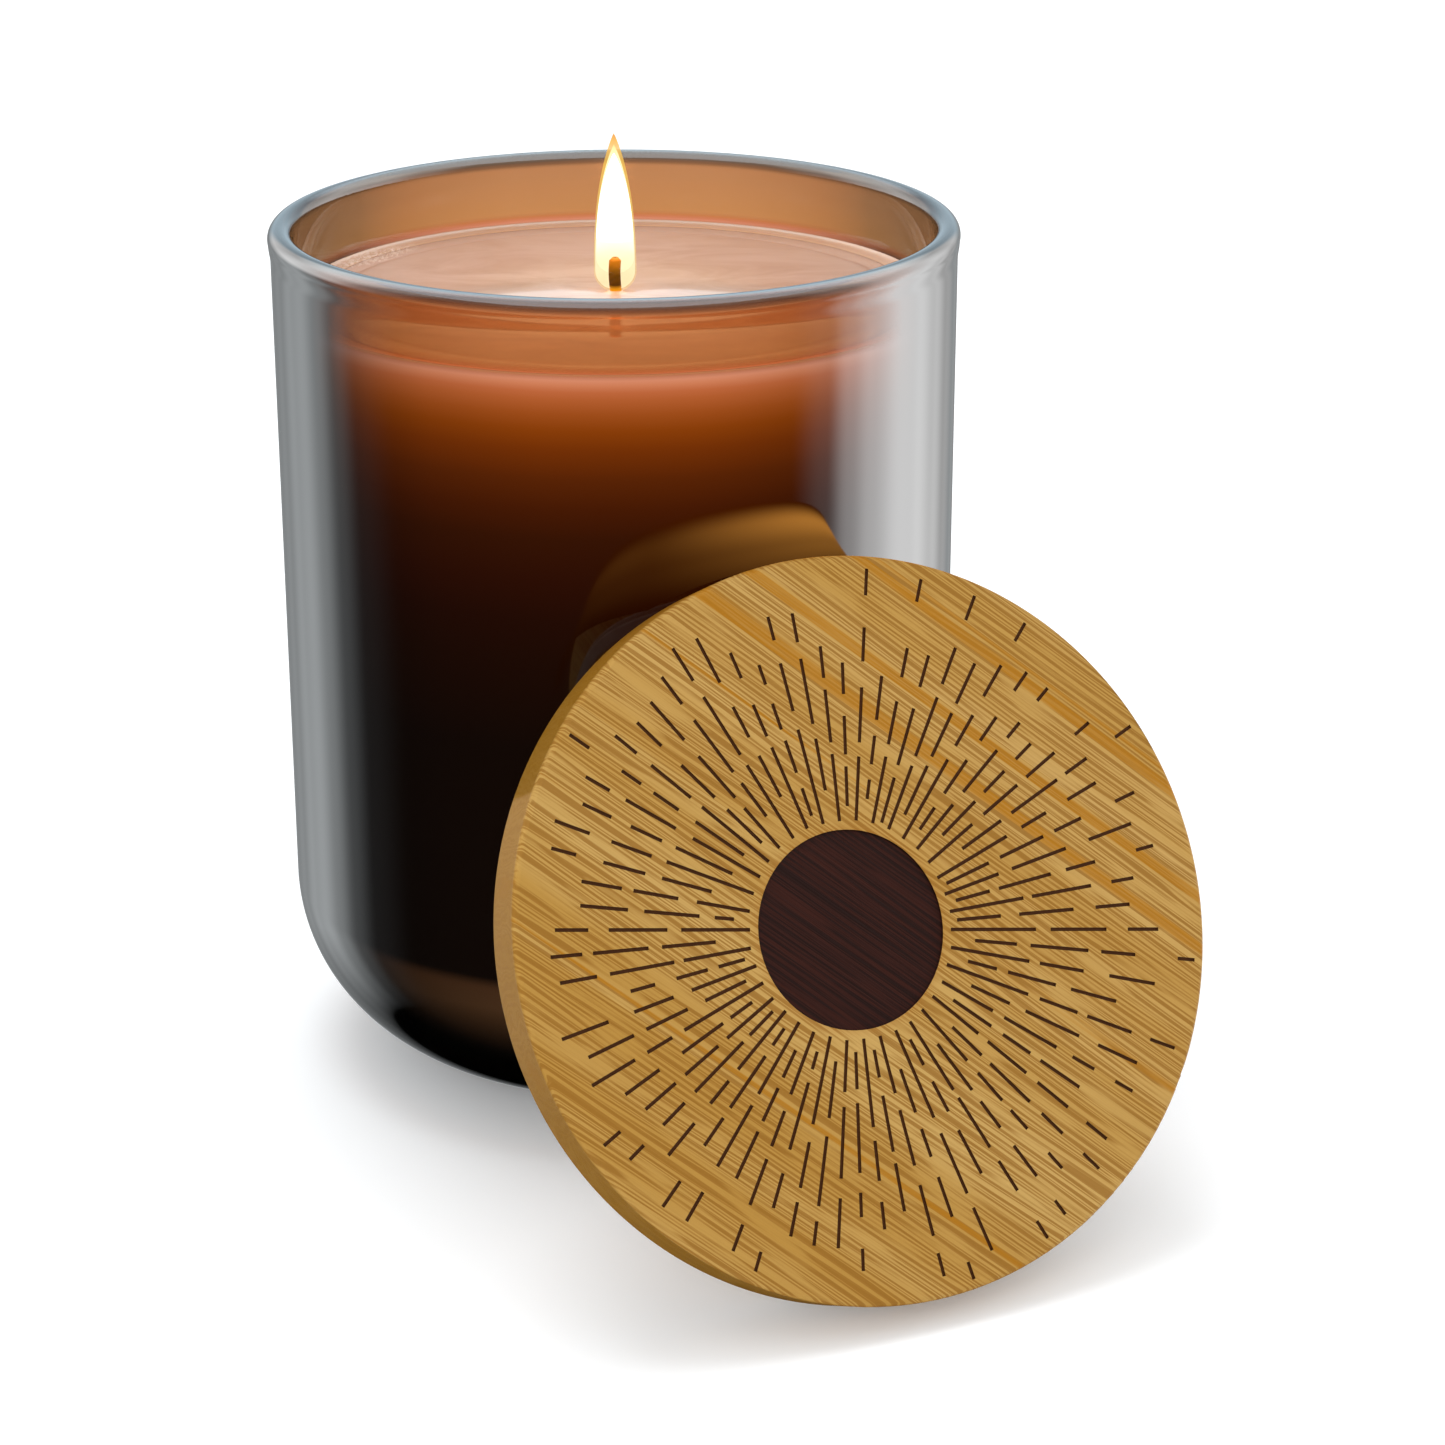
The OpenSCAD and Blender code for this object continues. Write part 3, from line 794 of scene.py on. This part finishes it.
def make_reflectors():
    """What the glass mirrors, as (degrees, level, tint) round the set at three heights."""
    plain, cool, cold = (1, 1, 1), (0.93, 0.98, 1.0), (0.70, 0.88, 1.0)
    low = [(-180, 0.20, cool), (-160, 0.38, cool), (-146, 0.66, cool), (-134, 1.20, cool),
           (-124, 1.60, cool), (-114, 1.20, cool), (-103, 0.42, cool), (-92, 0.08, plain),
           (-74, 0.01, plain), (60, 0.01, plain), (74, 0.40, plain), (84, 2.2, plain),
           (94, 3.5, plain), (108, 4.5, plain), (120, 3.8, plain), (134, 2.2, plain),
           (146, 1.02, plain), (158, 0.56, cool), (172, 0.28, plain), (180, 0.20, plain)]
    middle = [(-180, 1.4, cold), (-160, 1.2, cold), (-148, 1.8, plain), (-125, 3.6, plain),
              (-105, 3.4, plain), (-85, 1.4, plain), (-60, 0.10, plain), (60, 0.10, plain),
              (80, 1.6, plain), (98, 3.8, plain), (125, 3.6, plain), (148, 1.8, plain),
              (160, 1.2, cold), (180, 1.4, cold)]
    high = [(-180, 4.4, cold), (-165, 3.8, cold), (-150, 4.0, cool), (-110, 4.8, plain),
            (-85, 2.6, plain), (-60, 0.5, plain), (60, 0.5, plain), (85, 2.8, plain),
            (110, 4.9, plain), (150, 4.0, cool), (165, 3.8, cold), (180, 4.4, cold)]
    ring_around("soft_boxes", 1.2, 1.4,
                around_material("soft_boxes", 5.0, low, middle, high), "glossy")
    sweep = [(-180, 0.80, plain), (-150, 0.62, plain), (-115, 0.40, cool), (-60, 0.20, plain),
             (60, 0.20, plain), (115, 0.50, plain), (150, 0.70, plain), (180, 0.80, plain)]
    ring_around("grey_sweep", 1.3, 1.4, around_material("grey_sweep", 1.0, sweep),
                "transmission")
    make_ceiling()


def make_ceiling():
    """A cool skylight over the set, which draws the bright line on the rim."""
    n = Nodes("skylight")
    cloud = n.noise(n.add("NewGeometry").outputs["Position"], 1.5, 2.0)
    sky = n.glow_only(n.mix(cloud, (0.72, 0.88, 1.0), (0.80, 0.92, 1.0)), 4.5)
    steps, radius, height = 64, 1.2, 1.4
    turns = [2 * math.pi * i / steps for i in range(steps)]
    rim = [(radius * math.cos(a), radius * math.sin(a), height) for a in turns]
    ceiling = mesh_object("skylight", rim, [tuple(range(steps))])
    as_reflector(ceiling, sky, "glossy")


def make_gold_card():
    """A gold strip over the lid's upper edge, seen only as its soft mirror in the jar: a painted
    reflection.
    """
    n = Nodes("gold_card")
    u = n.add("TexCoord").outputs["UV"]
    along = n.split(u)[0]
    level = n.ramp(along, [(0.0, (0, 0, 0)), (0.28, (0.10, 0.10, 0.10)), (0.6, (1, 1, 1)),
                           (0.80, (0.85, 0.85, 0.85)), (1.0, (0, 0, 0))], "EASE")
    across = n.ramp(n.split(u)[1], [(0.0, (0, 0, 0)), (0.45, (0.5, 0.5, 0.5)),
                                    (0.75, (1, 1, 1)), (1.0, (0, 0, 0))], "EASE")
    tone = n.mix(1.0, n.mix(1.0, level, across, "MULTIPLY"), (1.0, 0.42, 0.07), "MULTIPLY")
    painted_edge_reflection = n.glow_only(tone, 4.0)
    steps, vertices, faces = 40, [], []
    for i in range(steps + 1):
        turn = math.radians(150 - 130 * i / steps)
        out = LID_U * math.cos(turn) + LID_V * math.sin(turn)
        for depth in (-6 * MM, LID_T + 1 * MM):
            vertices.append(tuple(LID_C + out * (LID_R + 0.6 * MM) + LID_N * depth))
    for i in range(steps):
        faces.append((2 * i, 2 * i + 1, 2 * i + 3, 2 * i + 2))
    card = mesh_object("gold_card", vertices, faces)
    layer = card.data.uv_layers.new(name="along")
    for loop in card.data.loops:
        layer.data[loop.index].uv = ((loop.vertex_index // 2) / steps, loop.vertex_index % 2)
    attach(card, "seal")             # it tips with the lid
    as_reflector(card, painted_edge_reflection, "glossy")


def area_light(name, location, target, size, power):
    data = bpy.data.lights.new(name, "AREA")
    data.shape = "DISK"
    data.size = size
    data.energy = power
    light = bpy.data.objects.new(name, data)
    light.location = location
    direction = Vector(target) - Vector(location)
    light.rotation_euler = direction.to_track_quat("-Z", "Y").to_euler()
    light.visible_camera = False
    light.visible_glossy = False
    light.visible_transmission = False
    bpy.context.scene.collection.objects.link(light)


def make_studio():
    make_floor()
    world = bpy.data.worlds.new("studio")
    world.use_nodes = True
    world.node_tree.nodes["Background"].inputs[0].default_value = (1, 1, 1, 1)
    world.node_tree.nodes["Background"].inputs[1].default_value = 0.94
    bpy.context.scene.world = world
    world.cycles_visibility.glossy = False
    area_light("overhead", (-0.20, 0.22, 1.25), (0, 0, 0), 0.7, 5.5)
    area_light("front_fill", (-0.35, -1.15, 0.55), (0, 0, 0.05), 0.9, 4.2)
    make_reflectors()
    make_gold_card()
    flame_light = bpy.data.lights.new("flame_light", "POINT")
    flame_light.energy = 0.0008
    flame_light.color = (1.0, 0.70, 0.44)
    flame_light.shadow_soft_size = 0.003
    bulb = bpy.data.objects.new("flame_light", flame_light)
    bulb.location = (0, 0, WAX_Z + 9 * MM)
    bulb.visible_camera = False
    bulb.visible_glossy = False
    bpy.context.scene.collection.objects.link(bulb)
    bpy.context.scene.view_settings.view_transform = "Standard"


make_studio()
